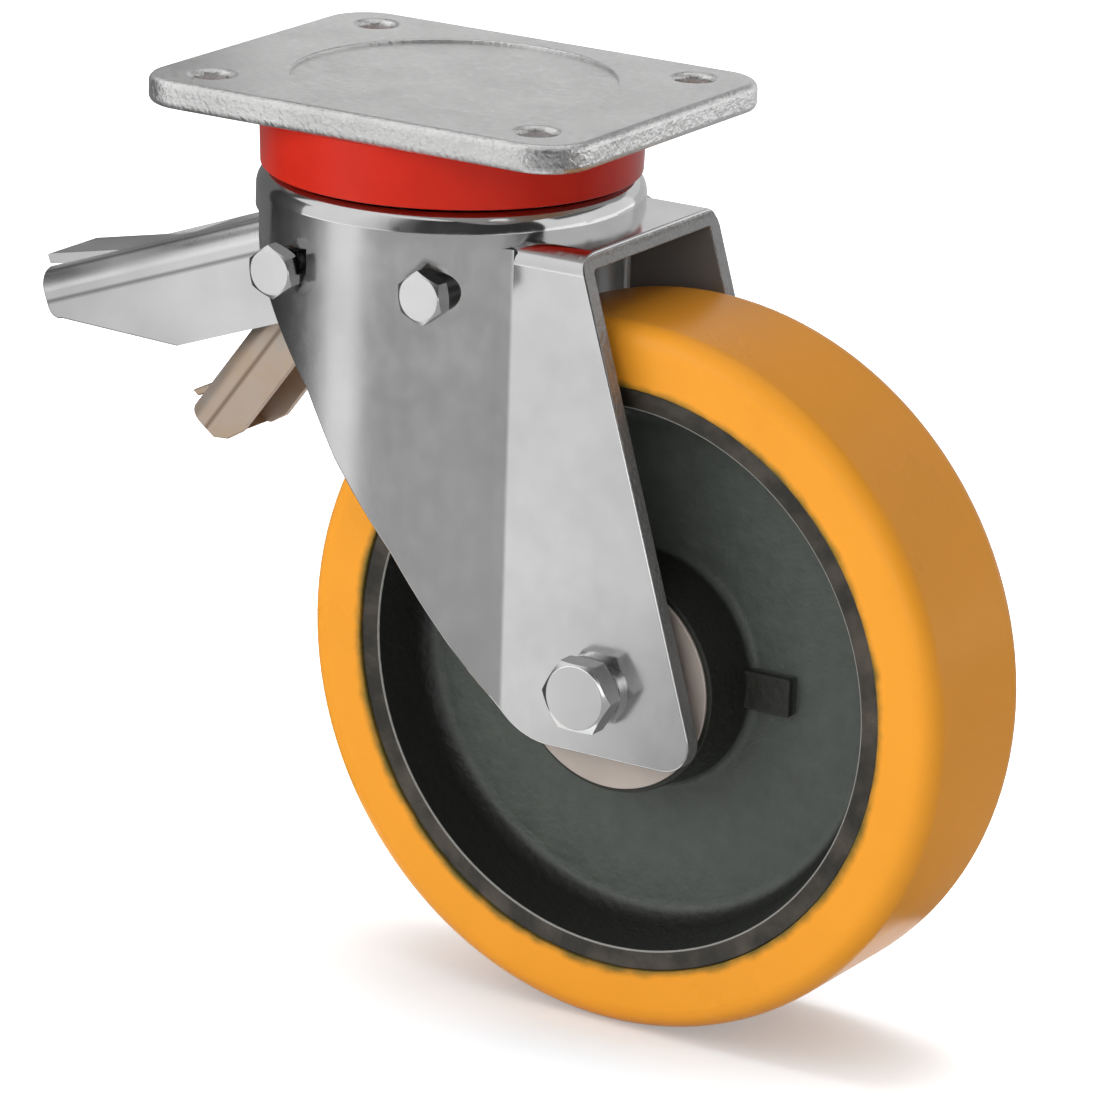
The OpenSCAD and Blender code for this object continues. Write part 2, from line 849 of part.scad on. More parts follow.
module axle_sleeve() {
    p = [trail, axle_z];
    color("gray")
        difference() {
            rod(p, bore_r, -leg_in, leg_in);
            rod(p, axle_r + bolt_gap, -leg_in - over, leg_in + over);
        }
}

module hub_spacers() {
    p = [trail, axle_z];
    color("gray")
        for (s = [0, 1])
            mirror([0, s, 0])
                difference() {
                    rod(p, bore_r + spacer_wall, hub_y - bearing_inset, leg_in);
                    rod(p, bore_r, hub_y - bearing_inset - over, leg_in + over);
                }
}

module bearing_groove() {
    rotate_extrude()
        translate([bearing_pitch_r, 0])
            circle(bearing_ball_r + ball_gap);
}

module bearing_ring(r_in, r_out) {
    for (s = [-1, 1])
        at_wheel(s * bearing_y)
            difference() {
                cylinder(r = r_out, h = bearing_w, center = true);
                cylinder(r = r_in, h = bearing_w + 2 * over, center = true);
                bearing_groove();
            }
}

module bearing_inner_rings() {
    color("gainsboro")
        bearing_ring(bore_r, race_in_r);
}

module bearing_outer_rings() {
    color("gainsboro")
        bearing_ring(race_out_r, bearing_r);
}

module bearing_balls() {
    color("gainsboro")
        for (s = [-1, 1])
            at_wheel(s * bearing_y)
                ball_row(bearing_pitch_r, bearing_ball_r, bearing_ball_count, 0);
}

module bearing_shields() {
    p = [trail, axle_z];
    color("tan")
        for (s = [0, 1])
            mirror([0, s, 0])
                difference() {
                    rod(p, shield_r, hub_y, hub_y + shield_t);
                    rod(p, race_in_r + shield_gap, hub_y - over, hub_y + shield_t + over);
                }
}

// Half section of the cast wheel, without its bearing seats
module core_half() {
    web_y = web_t / 2;
    rim_root = rim_in_r - rim_taper;
    slope = atan2(rim_taper, rim_y - web_y);
    translate([seat_r, 0])
        square([rim_root - seat_r, web_y]);
    polygon([[seat_r, 0], [hub_r, 0], [hub_r, web_y], [hub_r - hub_draft, hub_y], [seat_r, hub_y]]);
    polygon([[rim_root - over, 0], [rim_r, 0], [rim_r, rim_y], [rim_in_r, rim_y],
        [rim_root, web_y], [rim_root - over, web_y]]);
    web_corner(hub_r, 1, atan2(hub_draft, hub_y - web_y), hub_fillet_r);
    web_corner(rim_root, -1, slope, web_fillet_r);
}

// Fillet between the web and a wall that starts at radius x and leans away by slope;
// side is 1 where the web lies outside the wall and -1 where it lies inside
module web_corner(x, side, slope, r) {
    web_y = web_t / 2;
    f = r * tan((90 - slope) / 2);
    c = [x + side * f, web_y + r];
    difference() {
        polygon([[c[0], web_y - over], [x - side * over, web_y - over], [x - side * over, web_y],
            [x - side * f * sin(slope), web_y + f * cos(slope)], c]);
        translate(c)
            circle(r);
    }
}

module wheel_core() {
    color("darkslategray")
        difference() {
            union() {
                turned_wheel() {
                    core_half();
                    mirror([0, 1])
                        core_half();
                }
                // Lug beside the hub
                translate([trail + hub_r - hub_draft, -web_t / 2 - lug_rise, axle_z - lug_h / 2])
                    cube([lug_reach - hub_r + hub_draft, lug_rise + web_t / 2, lug_h]);
            }
            for (s = [-1, 1])
                at_wheel(s * bearing_y)
                    translate([0, 0, -bearing_w / 2 - (s > 0 ? bearing_inset + over : 0)])
                        cylinder(r = bearing_r, h = bearing_w + bearing_inset + over);
        }
}

module tread() {
    r = tread_edge_r;
    y = tread_w / 2;
    color("orange")
        turned_wheel() {
            translate([rim_r, -y])
                square([wheel_r - rim_r - r, tread_w]);
            translate([rim_r, r - y])
                square([wheel_r - rim_r, tread_w - 2 * r]);
            for (s = [-1, 1])
                translate([wheel_r - r, s * (y - r)])
                    circle(r);
        }
}

mounting_plate();
dust_seal();
upper_balls();
lower_balls();
lower_race();
king_nut();
fork();
pedal_bolt();
pedal_bolt_nut();
pedal_sleeve();
shoe_bolt();
shoe_bolt_nut();
shoe_sleeve();
bolt_spacers();
lock_pedal();
release_pedal();
brake_shoe();
axle_bolt();
axle_nut();
axle_washers();
axle_sleeve();
hub_spacers();
bearing_inner_rings();
bearing_outer_rings();
bearing_balls();
bearing_shields();
wheel_core();
tread();
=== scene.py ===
import json
import math

import bmesh
import bpy
from mathutils import Matrix, Vector
from mathutils.bvhtree import BVHTree
from mathutils.geometry import barycentric_transform

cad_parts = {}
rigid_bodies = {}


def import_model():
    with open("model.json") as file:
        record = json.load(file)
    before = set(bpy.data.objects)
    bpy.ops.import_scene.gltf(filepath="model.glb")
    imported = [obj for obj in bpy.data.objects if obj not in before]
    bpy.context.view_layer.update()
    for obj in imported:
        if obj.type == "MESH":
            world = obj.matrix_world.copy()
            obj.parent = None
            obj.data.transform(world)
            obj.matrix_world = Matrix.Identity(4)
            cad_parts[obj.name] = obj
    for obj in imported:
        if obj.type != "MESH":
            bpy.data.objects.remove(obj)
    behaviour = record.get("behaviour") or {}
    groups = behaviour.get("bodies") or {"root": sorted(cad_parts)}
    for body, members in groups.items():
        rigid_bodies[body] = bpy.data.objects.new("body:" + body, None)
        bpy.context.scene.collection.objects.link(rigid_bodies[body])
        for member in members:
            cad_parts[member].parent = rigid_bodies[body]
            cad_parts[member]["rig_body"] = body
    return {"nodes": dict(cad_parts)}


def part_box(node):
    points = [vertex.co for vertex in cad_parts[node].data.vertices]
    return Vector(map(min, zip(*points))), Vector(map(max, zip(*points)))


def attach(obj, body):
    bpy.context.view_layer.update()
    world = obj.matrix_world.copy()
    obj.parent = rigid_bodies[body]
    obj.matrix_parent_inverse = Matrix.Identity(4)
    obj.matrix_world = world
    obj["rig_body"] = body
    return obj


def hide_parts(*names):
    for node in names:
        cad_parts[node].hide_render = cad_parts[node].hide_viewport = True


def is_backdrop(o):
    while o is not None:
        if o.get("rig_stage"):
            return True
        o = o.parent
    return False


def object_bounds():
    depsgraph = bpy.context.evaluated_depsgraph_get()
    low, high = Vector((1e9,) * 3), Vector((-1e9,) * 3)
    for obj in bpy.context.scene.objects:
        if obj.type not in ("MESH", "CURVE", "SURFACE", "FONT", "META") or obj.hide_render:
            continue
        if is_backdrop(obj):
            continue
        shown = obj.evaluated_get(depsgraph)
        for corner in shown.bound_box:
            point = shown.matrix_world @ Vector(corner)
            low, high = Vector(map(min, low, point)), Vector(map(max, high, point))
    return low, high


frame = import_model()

cad_low, cad_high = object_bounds()
nodes = frame["nodes"]
scene = bpy.context.scene

# Mounting plate: a drop-forged steel plate in one piece with the king pin, zinc plated after
# forging. Its outline and hole mouths are soft, its top face is satin with a fine mottle, and
# the pin's end below the crown has a rolled thread.


def merged(node):
    """A mesh in work from a CAD piece, its loose triangles merged into whole faces."""
    bm = bmesh.new()
    bm.from_mesh(nodes[node].data)
    bmesh.ops.remove_doubles(bm, verts=bm.verts, dist=2e-6)
    bmesh.ops.dissolve_limit(bm, angle_limit=math.radians(0.4), verts=bm.verts, edges=bm.edges)
    bm.faces.layers.int.new("rounded")
    return bm


def round_edges(bm, chosen, width, steps):
    """Rounds the sharp outer edges whose middle passes the test."""
    rounded = bm.faces.layers.int["rounded"]
    sharp = [e for e in bm.edges
        if e.is_manifold and e.is_convex and e.calc_face_angle() > math.radians(28)]
    edges = [e for e in sharp if chosen((e.verts[0].co + e.verts[1].co) / 2)]
    made = bmesh.ops.bevel(bm, geom=edges, offset=width, offset_type="OFFSET", segments=steps,
        profile=0.5, affect="EDGES", clamp_overlap=False, loop_slide=True, material=-1)
    for f in made["faces"]:
        f[rounded] = 1


def cad_normals(bm, node):
    """Corner normals: the CAD surface's own on its faces, carried on into the rounded edges."""
    cad = nodes[node].data
    lean = [n.vector.copy() for n in cad.corner_normals]
    tree = BVHTree.FromPolygons([v.co for v in cad.vertices], [p.vertices[:] for p in cad.polygons])
    rounded = bm.faces.layers.int["rounded"]
    own = {}
    for f in bm.faces:
        if f[rounded]:
            continue
        for loop in f.loops:
            at = loop.vert.co
            hits = tree.find_nearest_range(at, 4e-5)
            hit = max(hits, key=lambda h: h[1].dot(f.normal), default=None)
            if hit is None or hit[1].dot(f.normal) < 0.8:
                continue
            p = cad.polygons[hit[2]]
            places = [cad.vertices[v].co for v in p.vertices]
            leans = [lean[c] for c in p.loop_indices]
            normal = barycentric_transform(at, *places, *leans).normalized()
            own[loop] = normal if normal.dot(f.normal) > 0.9 else f.normal.copy()
    corners = []
    for f in bm.faces:
        for loop in f.loops:
            normal = own.get(loop)
            if normal is None and not f[rounded]:
                normal = f.normal
            if normal is None:
                near = [own[other] for other in loop.vert.link_loops if other in own]
                near = [n for n in near if n.dot(f.normal) > 0.6]
                normal = max(near, key=lambda n: n.dot(f.normal), default=Vector((0, 0, 0)))
            corners.append(normal)
    return corners


def finished(bm, name, node):
    """Makes the mesh an object in place of its CAD node, riding on the node's body."""
    mesh = bpy.data.meshes.new(name)
    bm.normal_update()
    corners = cad_normals(bm, node)
    bm.to_mesh(mesh)
    bm.free()
    mesh.shade_smooth()
    mesh.set_sharp_from_angle(angle=math.radians(38))
    mesh.normals_split_custom_set(corners)
    piece = bpy.data.objects.new(name, mesh)
    scene.collection.objects.link(piece)
    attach(piece, nodes[node]["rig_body"])
    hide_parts(node)
    return piece


def threaded(bm, foot, out, start, end, radius, pitch):
    """Cuts a shank off at start and ends it in a rolled thread with a chamfered tip."""
    whole = bm.verts[:] + bm.edges[:] + bm.faces[:]
    bmesh.ops.bisect_plane(bm, geom=whole, plane_co=foot + out * start, plane_no=out, clear_outer=True)
    bmesh.ops.holes_fill(bm, edges=[e for e in bm.edges if e.is_boundary])
    root = radius - 0.61 * pitch
    outline = [(0, start), (root, start)]
    turns = int((end - start) / pitch - 0.25)
    for i in range(turns):
        outline += [(radius, start + (i + 0.5) * pitch), (root, start + (i + 1) * pitch)]
    outline += [(root, end), (0, end)]
    thread = bmesh.new()
    side = out.orthogonal()
    points = [thread.verts.new(foot + out * along + side * r) for r, along in outline]
    lines = [thread.edges.new(pair) for pair in zip(points, points[1:])]
    bmesh.ops.spin(thread, geom=points + lines, cent=foot, axis=out, angle=2 * math.pi, steps=40,
        use_merge=True)
    bmesh.ops.remove_doubles(thread, verts=thread.verts, dist=1e-6)
    bmesh.ops.recalc_face_normals(thread, faces=thread.faces)
    rolled = bpy.data.meshes.new("rolled")
    thread.to_mesh(rolled)
    thread.free()
    known = set(bm.faces)
    bm.from_mesh(rolled)
    bpy.data.meshes.remove(rolled)
    rounded = bm.faces.layers.int["rounded"]
    for f in bm.faces:
        if f not in known:
            f[rounded] = 1


def finish_with(piece, material):
    piece.data.materials.clear()
    piece.data.materials.append(material)


def link(tree, a, out, b, into):
    tree.links.new(a.outputs[out], b.inputs[into])


def noise(tree, place, out, scale, detail):
    made = tree.nodes.new("ShaderNodeTexNoise")
    made.inputs["Scale"].default_value = scale
    made.inputs["Detail"].default_value = detail
    link(tree, place, out, made, "Vector")
    return made


def spread(tree, source, out, low, high, to_low, to_high):
    """Takes the values from low to high over to a new range, softly at both ends."""
    made = tree.nodes.new("ShaderNodeMapRange")
    made.interpolation_type = "SMOOTHSTEP"
    made.inputs["From Min"].default_value = low
    made.inputs["From Max"].default_value = high
    made.inputs["To Min"].default_value = to_low
    made.inputs["To Max"].default_value = to_high
    link(tree, source, out, made, "Value")
    return made


def shades(tree, source, out, *stops):
    """Colours along a value, from pairs of place and colour."""
    made = tree.nodes.new("ShaderNodeValToRGB")
    ramp = made.color_ramp
    while len(ramp.elements) < len(stops):
        ramp.elements.new(1.0)
    for element, (at, colour) in zip(ramp.elements, stops):
        element.position = at
        element.color = (*colour, 1)
    link(tree, source, out, made, "Fac")
    return made


def bumped(tree, source, out, strength, depth, under=None):
    made = tree.nodes.new("ShaderNodeBump")
    made.inputs["Strength"].default_value = strength
    made.inputs["Distance"].default_value = depth
    link(tree, source, out, made, "Height")
    if under:
        link(tree, under, "Normal", made, "Normal")
    return made


def scaled(colour, by):
    return tuple(min(1.0, c * by) for c in colour)


def metal(name, colour, rough, drawn_scale, stretch, depth):
    """Plated steel: clouds in its colour, drawn streaks in its gloss, and a fine speckle."""
    material = bpy.data.materials.new(name)
    material.use_nodes = True
    tree = material.node_tree
    shader = tree.nodes["Principled BSDF"]
    shader.inputs["Metallic"].default_value = 1.0
    place = tree.nodes.new("ShaderNodeTexCoord")
    place.name = "place"
    stretched = tree.nodes.new("ShaderNodeMapping")
    stretched.inputs["Scale"].default_value = stretch
    link(tree, place, "Object", stretched, "Vector")
    drawn = noise(tree, stretched, "Vector", drawn_scale, 6.0)
    cloud = noise(tree, place, "Object", 45.0, 4.0)
    speck = noise(tree, place, "Object", 1100.0, 2.0)
    tone = shades(tree, cloud, "Fac", (0.3, scaled(colour, 0.92)), (0.7, scaled(colour, 1.06)))
    tone.name = "tone"
    link(tree, tone, "Color", shader, "Base Color")
    gloss = spread(tree, drawn, "Fac", 0.25, 0.75, rough * 0.75, rough * 1.25)
    gloss.name = "gloss"
    link(tree, gloss, "Result", shader, "Roughness")
    streak = bumped(tree, drawn, "Fac", depth, 0.0001)
    skin = bumped(tree, speck, "Fac", depth, 0.00005, streak)
    skin.name = "skin"
    link(tree, skin, "Normal", shader, "Normal")
    return material


plate_t = 0.008
plate_half = (0.070, 0.055)
corner_centre = (0.056, 0.041)
corner_r = 0.0135
hole_at = (0.0525, 0.040)
hole_reach = 0.0056
recess_r = 0.045
pin_r = 0.008
pin_pitch = 0.002


def plate_outline(p):
    over_x = abs(p.x) - corner_centre[0]
    over_y = abs(p.y) - corner_centre[1]
    at_side = plate_half[0] - abs(p.x) < 1e-3 or plate_half[1] - abs(p.y) < 1e-3
    at_corner = over_x > 0 and over_y > 0 and math.hypot(over_x, over_y) > corner_r
    return p.z > -plate_t - 1e-5 and (at_side or at_corner)


def hole_mouth(p):
    near = math.hypot(abs(p.x) - hole_at[0], abs(p.y) - hole_at[1]) < hole_reach
    return p.z > -plate_t - 1e-5 and near


def recess_edge(p):
    return p.z > -0.002 and math.hypot(p.x, p.y) < recess_r + 1e-3


def part_flats(bm, cuts):
    """Parts flat faces by cuts across X through the holes, so that each one is a plain outline."""
    for at in cuts:
        whole = bm.verts[:] + bm.edges[:] + bm.faces[:]
        bmesh.ops.bisect_plane(bm, geom=whole, dist=2e-6, plane_co=(at, 0, 0), plane_no=(1, 0, 0))
    flat = []
    for e in bm.edges:
        a, b = (v.co.x for v in e.verts)
        on_cut = any(abs(a - at) < 1e-5 and abs(b - at) < 1e-5 for at in cuts)
        if e.is_manifold and e.calc_face_angle() < math.radians(0.4) and not on_cut:
            flat.append(e)
    bmesh.ops.dissolve_edges(bm, edges=flat, use_verts=False)


plate_mesh = merged("mounting_plate")
part_flats(plate_mesh, (-hole_at[0], 0.0, hole_at[0]))
thread_start = -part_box("king_nut")[0].z - 0.0005
thread_end = -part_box("mounting_plate")[0].z
threaded(plate_mesh, Vector((0, 0, 0)), Vector((0, 0, -1)), thread_start, thread_end, pin_r, pin_pitch)
round_edges(plate_mesh, plate_outline, 0.0022, 5)
round_edges(plate_mesh, hole_mouth, 0.0018, 5)
round_edges(plate_mesh, recess_edge, 0.0006, 3)
plate = finished(plate_mesh, "plate", "mounting_plate")
plate_zinc = metal("plate_zinc", (0.72, 0.72, 0.715), 0.36, 420.0, (1.0, 1.6, 1.0), 0.12)
tree = plate_zinc.node_tree
shader = tree.nodes["Principled BSDF"]
forged = noise(tree, tree.nodes["place"], "Object", 620.0, 5.0)
upright = tree.nodes.new("ShaderNodeSeparateXYZ")
link(tree, tree.nodes["place"], "Normal", upright, "Vector")
side_face = spread(tree, upright, "Z", 0.8, 0.98, 0.8, 0.1)
mottle = bumped(tree, forged, "Fac", 0.1, 0.0006, tree.nodes["skin"])
link(tree, side_face, "Result", mottle, "Strength")
link(tree, mottle, "Normal", shader, "Normal")
finish_with(plate, plate_zinc)

# Dust seal: a moulded red plastic ring that is pushed up under the plate. It covers the gap at
# the upper balls, and its foot runs just clear of the crown.


def plain(name, colour, rough, scale, depth, vary):
    """Plastic or paint: colour in soft clouds, with a fine skin."""
    material = bpy.data.materials.new(name)
    material.use_nodes = True
    tree = material.node_tree
    shader = tree.nodes["Principled BSDF"]
    place = tree.nodes.new("ShaderNodeTexCoord")
    place.name = "place"
    cloud = noise(tree, place, "Object", scale, 6.0)
    tone = shades(tree, cloud, "Fac", (0.3, scaled(colour, 1 - vary)), (0.7, scaled(colour, 1 + vary)))
    tone.name = "tone"
    link(tree, tone, "Color", shader, "Base Color")
    gloss = spread(tree, cloud, "Fac", 0.3, 0.7, rough * 0.9, rough * 1.1)
    link(tree, gloss, "Result", shader, "Roughness")
    skin = bumped(tree, cloud, "Fac", depth, 0.0003)
    skin.name = "skin"
    link(tree, skin, "Normal", shader, "Normal")
    return material


def everywhere(p):
    return True


seal_mesh = merged("dust_seal")
round_edges(seal_mesh, everywhere, 0.0005, 3)
seal = finished(seal_mesh, "seal", "dust_seal")
seal_red = plain("seal_red", (0.6, 0.018, 0.005), 0.24, 60.0, 0.04, 0.06)
seal_red.node_tree.nodes["Principled BSDF"].inputs["Specular IOR Level"].default_value = 0.25
finish_with(seal, seal_red)

# Swivel bearing: two rows of hardened balls, one above the crown and one below it, on a ground
# lower race that the king nut draws up.
ball_steel = metal("ball_steel", (0.62, 0.62, 0.63), 0.12, 200.0, (1, 1, 1), 0.02)
race_steel = metal("race_steel", (0.52, 0.52, 0.53), 0.3, 200.0, (1, 1, 1), 0.05)
finish_with(nodes["upper_balls"], ball_steel)
finish_with(nodes["lower_balls"], ball_steel)
finish_with(nodes["lower_race"], race_steel)
nut_zinc = metal("nut_zinc", (0.56, 0.56, 0.56), 0.26, 160.0, (1, 1, 1), 0.08)


def nut(node, name):
    """A hexagon nut with its corners worn soft."""
    low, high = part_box(node)
    size = high - low
    along = min(range(3), key=lambda i: size[i])
    middle = (low[along] + high[along]) / 2
    mesh = merged(node)
    round_edges(mesh, lambda p: abs(p[along] - middle) < 0.2 * size[along], 0.0003, 2)
    piece = finished(mesh, name, node)
    finish_with(piece, nut_zinc)


nut("king_nut", "swivel_nut")

# Fork: one pressing of 5 mm steel sheet, with a polished crown that carries the ball races, a
# drum below it, a flat shelf over the wheel and two straight legs. It is zinc plated, and its
# sheared edges stay rough. Between the legs, under the shelf, it is painted a dark dull grey as
# painted shade.
fork_mesh = merged("fork")
sheared_below = -0.0385
shelf_rear = 0.056
inner_y = 0.0305
leg_front = 0.045
leg_foot = -0.15
holes = []
for node, reach in (("pedal_bolt", 0.009), ("shoe_bolt", 0.009), ("axle_bolt", 0.010)):
    low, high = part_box(node)
    holes.append(((low.x + high.x) / 2, (low.z + high.z) / 2, reach))


def sheared_edge(p):
    at_hole = any(math.hypot(p.x - x, p.z - z) < reach for x, z, reach in holes)
    in_corner = abs(p.y) < inner_y and (p.x < leg_front or p.z < leg_foot)
    return (p.z < sheared_below or p.x > shelf_rear) and not at_hole and not in_corner


round_edges(fork_mesh, sheared_edge, 0.0006, 3)
fork = finished(fork_mesh, "fork_sheet", "fork")
fork_zinc = metal("fork_zinc", (0.6, 0.6, 0.6), 0.17, 240.0, (1.0, 1.0, 0.6), 0.012)
tree = fork_zinc.node_tree
shader = tree.nodes["Principled BSDF"]
height = tree.nodes.new("ShaderNodeSeparateXYZ")
link(tree, tree.nodes["place"], "Object", height, "Vector")
crown = spread(tree, height, "Z", -0.037, -0.031, 1.0, 0.65)
shine = tree.nodes.new("ShaderNodeMath")
shine.operation = "MULTIPLY"
link(tree, tree.nodes["gloss"], "Result", shine, 0)
link(tree, crown, "Result", shine, 1)
turned = tree.nodes.new("ShaderNodeSeparateXYZ")
link(tree, tree.nodes["place"], "Normal", turned, "Vector")
flat = tree.nodes.new("ShaderNodeMath")
flat.operation = "ABSOLUTE"
link(tree, turned, "Y", flat, 0)
cut_face = spread(tree, flat, "Value", 0.35, 0.8, 0.9, 0.0)
on_leg = spread(tree, height, "X", 0.05, 0.056, 0.0, 1.0)
below_shelf = spread(tree, height, "Z", -0.0345, -0.0335, 1.0, 0.0)
torn = tree.nodes.new("ShaderNodeMath")
torn.operation = "MULTIPLY"
link(tree, cut_face, "Result", torn, 0)
link(tree, on_leg, "Result", torn, 1)
torn_below = tree.nodes.new("ShaderNodeMath")
torn_below.operation = "MULTIPLY"
link(tree, torn, "Value", torn_below, 0)
link(tree, below_shelf, "Result", torn_below, 1)
sideways = tree.nodes.new("ShaderNodeMath")
sideways.operation = "ABSOLUTE"
link(tree, height, "Y", sideways, 0)
between_legs = spread(tree, sideways, "Value", 0.03, 0.0302, 1.0, 0.0)
not_top = spread(tree, turned, "Z", 0.2, 0.4, 1.0, 0.0)
not_edge = spread(tree, turned, "X", 0.4, 0.6, 1.0, 0.0)
under = tree.nodes.new("ShaderNodeMath")
under.operation = "MULTIPLY"
link(tree, between_legs, "Result", under, 0)
link(tree, not_top, "Result", under, 1)
# Between the legs, on faces that neither look up nor along X, the sheet is painted a dark dull grey:
# painted shade inside the fork.
inside = tree.nodes.new("ShaderNodeMath")
inside.operation = "MULTIPLY"
link(tree, under, "Value", inside, 0)
link(tree, not_edge, "Result", inside, 1)
# bare joins the rough torn sheared edges with that painted shade inside the fork.
bare = tree.nodes.new("ShaderNodeMath")
bare.operation = "MAXIMUM"
link(tree, inside, "Value", bare, 0)
link(tree, torn_below, "Value", bare, 1)
dulled_and_shaded = spread(tree, bare, "Value", 0.0, 1.0, 1.0, 0.45)
link(tree, dulled_and_shaded, "Result", shader, "Metallic")
torn_and_shaded_tone = tree.nodes.new("ShaderNodeMix")
torn_and_shaded_tone.data_type = "RGBA"
torn_and_shaded_tone.inputs[7].default_value = (0.24, 0.24, 0.24, 1)
link(tree, bare, "Value", torn_and_shaded_tone, 0)
link(tree, tree.nodes["tone"], "Color", torn_and_shaded_tone, 6)
link(tree, torn_and_shaded_tone, 2, shader, "Base Color")
rougher = tree.nodes.new("ShaderNodeMath")
rougher.operation = "MULTIPLY_ADD"
rougher.inputs[1].default_value = 0.25
link(tree, bare, "Value", rougher, 0)
link(tree, shine, "Value", rougher, 2)
link(tree, rougher, "Value", shader, "Roughness")
fracture = noise(tree, tree.nodes["place"], "Object", 700.0, 4.0)
burr = bumped(tree, fracture, "Fac", 0.0, 0.0008, tree.nodes["skin"])
link(tree, torn_below, "Value", burr, "Strength")
link(tree, burr, "Normal", shader, "Normal")
finish_with(fork, fork_zinc)

# Brake bolts: two M8 hexagon bolts through the drum, bright zinc with flanks painted darker as
# painted shade, each with a nut on the far side, a short tube under its head and nut painted near
# black as painted shade, and a long sleeve inside that the levers and the shoe turn on.
bolt_zinc = metal("bolt_zinc", (0.66, 0.66, 0.66), 0.2, 180.0, (1, 1, 1), 0.06)
tree = bolt_zinc.node_tree
# Faces that do not look along the bolt, the head's flanks, are painted darker as painted shade.
turned = tree.nodes.new("ShaderNodeSeparateXYZ")
link(tree, tree.nodes["place"], "Normal", turned, "Vector")
endwise = tree.nodes.new("ShaderNodeMath")
endwise.operation = "ABSOLUTE"
link(tree, turned, "Y", endwise, 0)
on_flank = spread(tree, endwise, "Value", 0.1, 0.5, 1.0, 0.0)
shaded_flank = tree.nodes.new("ShaderNodeMix")
shaded_flank.data_type = "RGBA"
shaded_flank.inputs[7].default_value = (0.3, 0.3, 0.3, 1)
link(tree, on_flank, "Result", shaded_flank, 0)
link(tree, tree.nodes["tone"], "Color", shaded_flank, 6)
link(tree, shaded_flank, 2, tree.nodes["Principled BSDF"], "Base Color")
# The spacer tubes are painted near black as painted shade beside the heads.
spacer_shade = metal("spacer_shade", (0.09, 0.09, 0.09), 0.35, 160.0, (1, 1, 1), 0.08)
sleeve_zinc = metal("sleeve_zinc", (0.4, 0.4, 0.4), 0.35, 160.0, (1, 1, 1), 0.08)


def bolt(node, nut_node, name, radius, pitch):
    """A hexagon bolt along Y with softened corners, threaded where it leaves its nut."""
    low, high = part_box(node)
    nut_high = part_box(nut_node)[1]
    foot = Vector(((low.x + high.x) / 2, 0, (low.z + high.z) / 2))
    mesh = merged(node)
    threaded(mesh, foot, Vector((0, 1, 0)), nut_high.y - 0.0005, high.y, radius, pitch)
    head = [v.co.y for v in mesh.verts if math.hypot(v.co.x - foot.x, v.co.z - foot.z) > 1.3 * radius]
    middle = (min(head) + max(head)) / 2
    round_edges(mesh, lambda p: p.y < low.y + 1e-5 or abs(p.y - middle) < 0.001, 0.00025, 2)
    piece = finished(mesh, name, node)
    finish_with(piece, bolt_zinc)


bolt("pedal_bolt", "pedal_bolt_nut", "front_brake_bolt", 0.004, 0.00125)
bolt("shoe_bolt", "shoe_bolt_nut", "rear_brake_bolt", 0.004, 0.00125)
nut("pedal_bolt_nut", "front_brake_nut")
nut("shoe_bolt_nut", "rear_brake_nut")
finish_with(nodes["bolt_spacers"], spacer_shade)
finish_with(nodes["pedal_sleeve"], sleeve_zinc)
finish_with(nodes["shoe_sleeve"], sleeve_zinc)

# Upper lever: pressed from 3 mm sheet into an arch, with a tongue bent up at its end for the
# foot. Bright zinc, with dark lines painted along its bends as painted shade.
lock_mesh = merged("lock_pedal")
drum_rear = -0.05


def outside_drum(p):
    return p.x < drum_rear


def painted_bend_shade(material, axis, start, *stops):
    """Dark lines painted along the bends as painted shade, by the distance along an axis."""
    tree = material.node_tree
    shader = tree.nodes["Principled BSDF"]
    along = tree.nodes.new("ShaderNodeVectorMath")
    along.operation = "DOT_PRODUCT"
    along.inputs[1].default_value = axis
    link(tree, tree.nodes["place"], "Object", along, 0)
    offset = tree.nodes.new("ShaderNodeMath")
    offset.operation = "SUBTRACT"
    offset.inputs[1].default_value = start
    link(tree, along, "Value", offset, 0)
    aside = tree.nodes.new("ShaderNodeMath")
    aside.operation = "ABSOLUTE"
    link(tree, offset, "Value", aside, 0)
    share = spread(tree, aside, "Value", 0.0, 0.02, 0.0, 1.0)
    share.interpolation_type = "LINEAR"
    lines = shades(tree, share, "Result", *[(at / 0.02, tone) for at, tone in stops])
    # The lines multiply the base colour: painted shade along the bends.
    worn = tree.nodes.new("ShaderNodeMix")
    worn.data_type = "RGBA"
    worn.blend_type = "MULTIPLY"
    worn.inputs[0].default_value = 1.0
    under = shader.inputs["Base Color"].links[0]
    tree.links.new(under.from_socket, worn.inputs[6])
    link(tree, lines, "Color", worn, 7)
    link(tree, worn, 2, shader, "Base Color")


def lever_edge(p):
    beside_tongue = 0.0108 < abs(p.y) < 0.0122
    return outside_drum(p) and not beside_tongue


round_edges(lock_mesh, lever_edge, 0.0005, 3)
lock = finished(lock_mesh, "lock_lever", "lock_pedal")
lever_zinc = metal("lever_zinc", (0.68, 0.68, 0.68), 0.32, 80.0, (0.15, 1.0, 1.0), 0.1)
unshaded = (1, 1, 1)
line = (0.45, 0.45, 0.45)
web_up = (-0.342, 0.0, 0.94)
web_at = -0.0245
painted_bend_shade(lever_zinc, (0, 1, 0), 0.0, (0.0143, unshaded), (0.0149, line), (0.0152, line), (0.0159, unshaded))
painted_bend_shade(lever_zinc, web_up, web_at, (0.0084, unshaded), (0.0091, line), (0.0094, line), (0.0103, unshaded))
finish_with(lock, lever_zinc)

# Lower lever and brake shoe: pressed from thinner sheet and passivated in a warm bronze that
# shifts from beige to grey and brown. The lower lever lets the brake go, and the shoe swings
# down on the tread.


